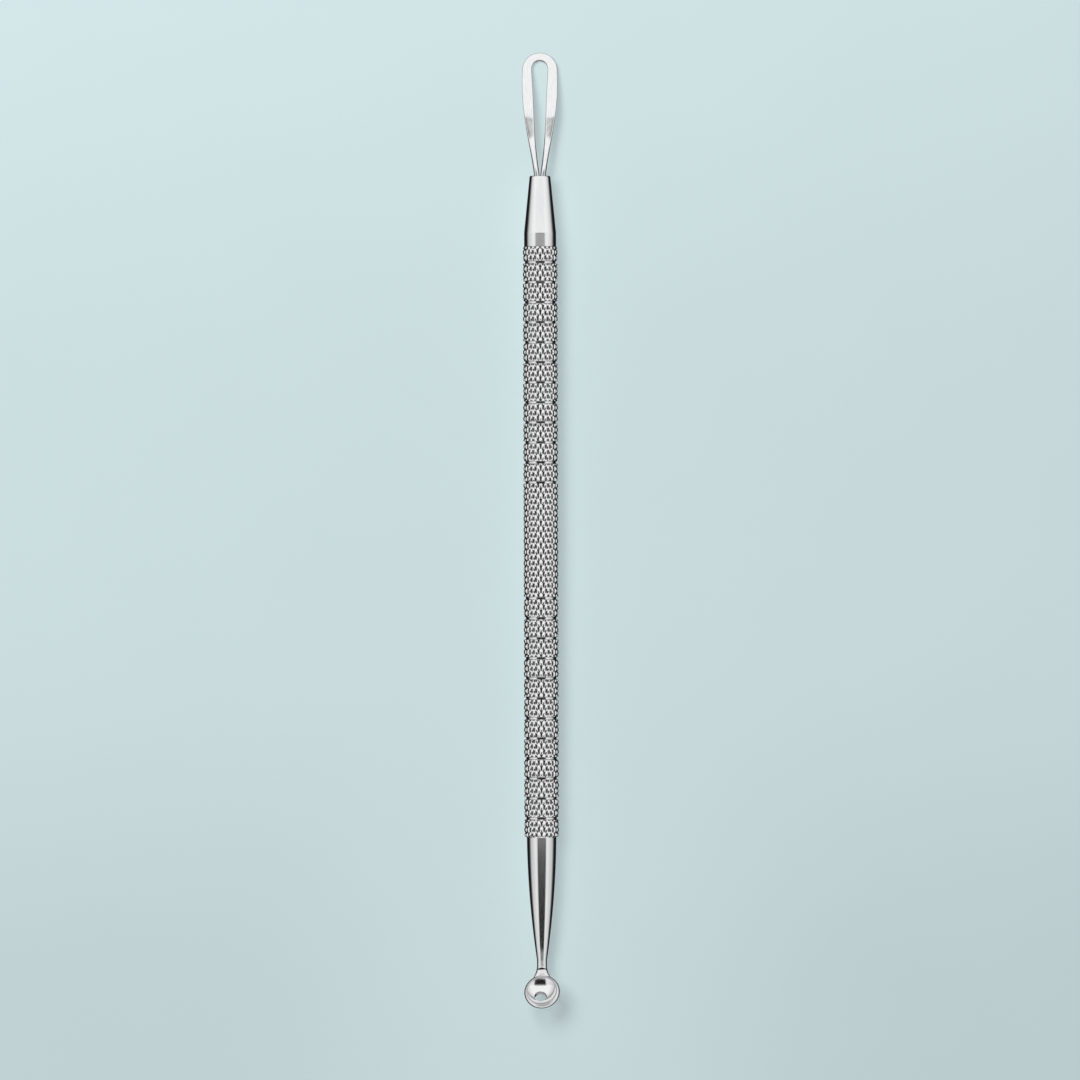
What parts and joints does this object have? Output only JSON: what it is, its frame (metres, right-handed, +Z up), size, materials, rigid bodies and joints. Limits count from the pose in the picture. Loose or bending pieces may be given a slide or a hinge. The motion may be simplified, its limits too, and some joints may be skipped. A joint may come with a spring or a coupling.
{
  "type": "comedone extractor",
  "caption": "Slim knurled steel comedone extractor with a flattened, folded wire loop at one end and a small perforated cup at the other.",
  "frame": {"origin": "on the plane the tool lies on, under the middle of its box", "axes": "+Y along the handle's axis towards the wire loop, -Y towards the cup, +Z up, out of the open side of the cup"},
  "size_m": [0.0044, 0.12, 0.005],
  "materials": {
    "handle_steel": "turned and polished stainless steel",
    "loop_steel": "pressed and lengthwise brushed stainless wire",
    "silver_braze": "dull silver braze"
  },
  "bodies": {
    "root": {"handle": "handle_steel", "wire_loop": "loop_steel", "braze_fill": "silver_braze"}
  },
  "joints": []
}
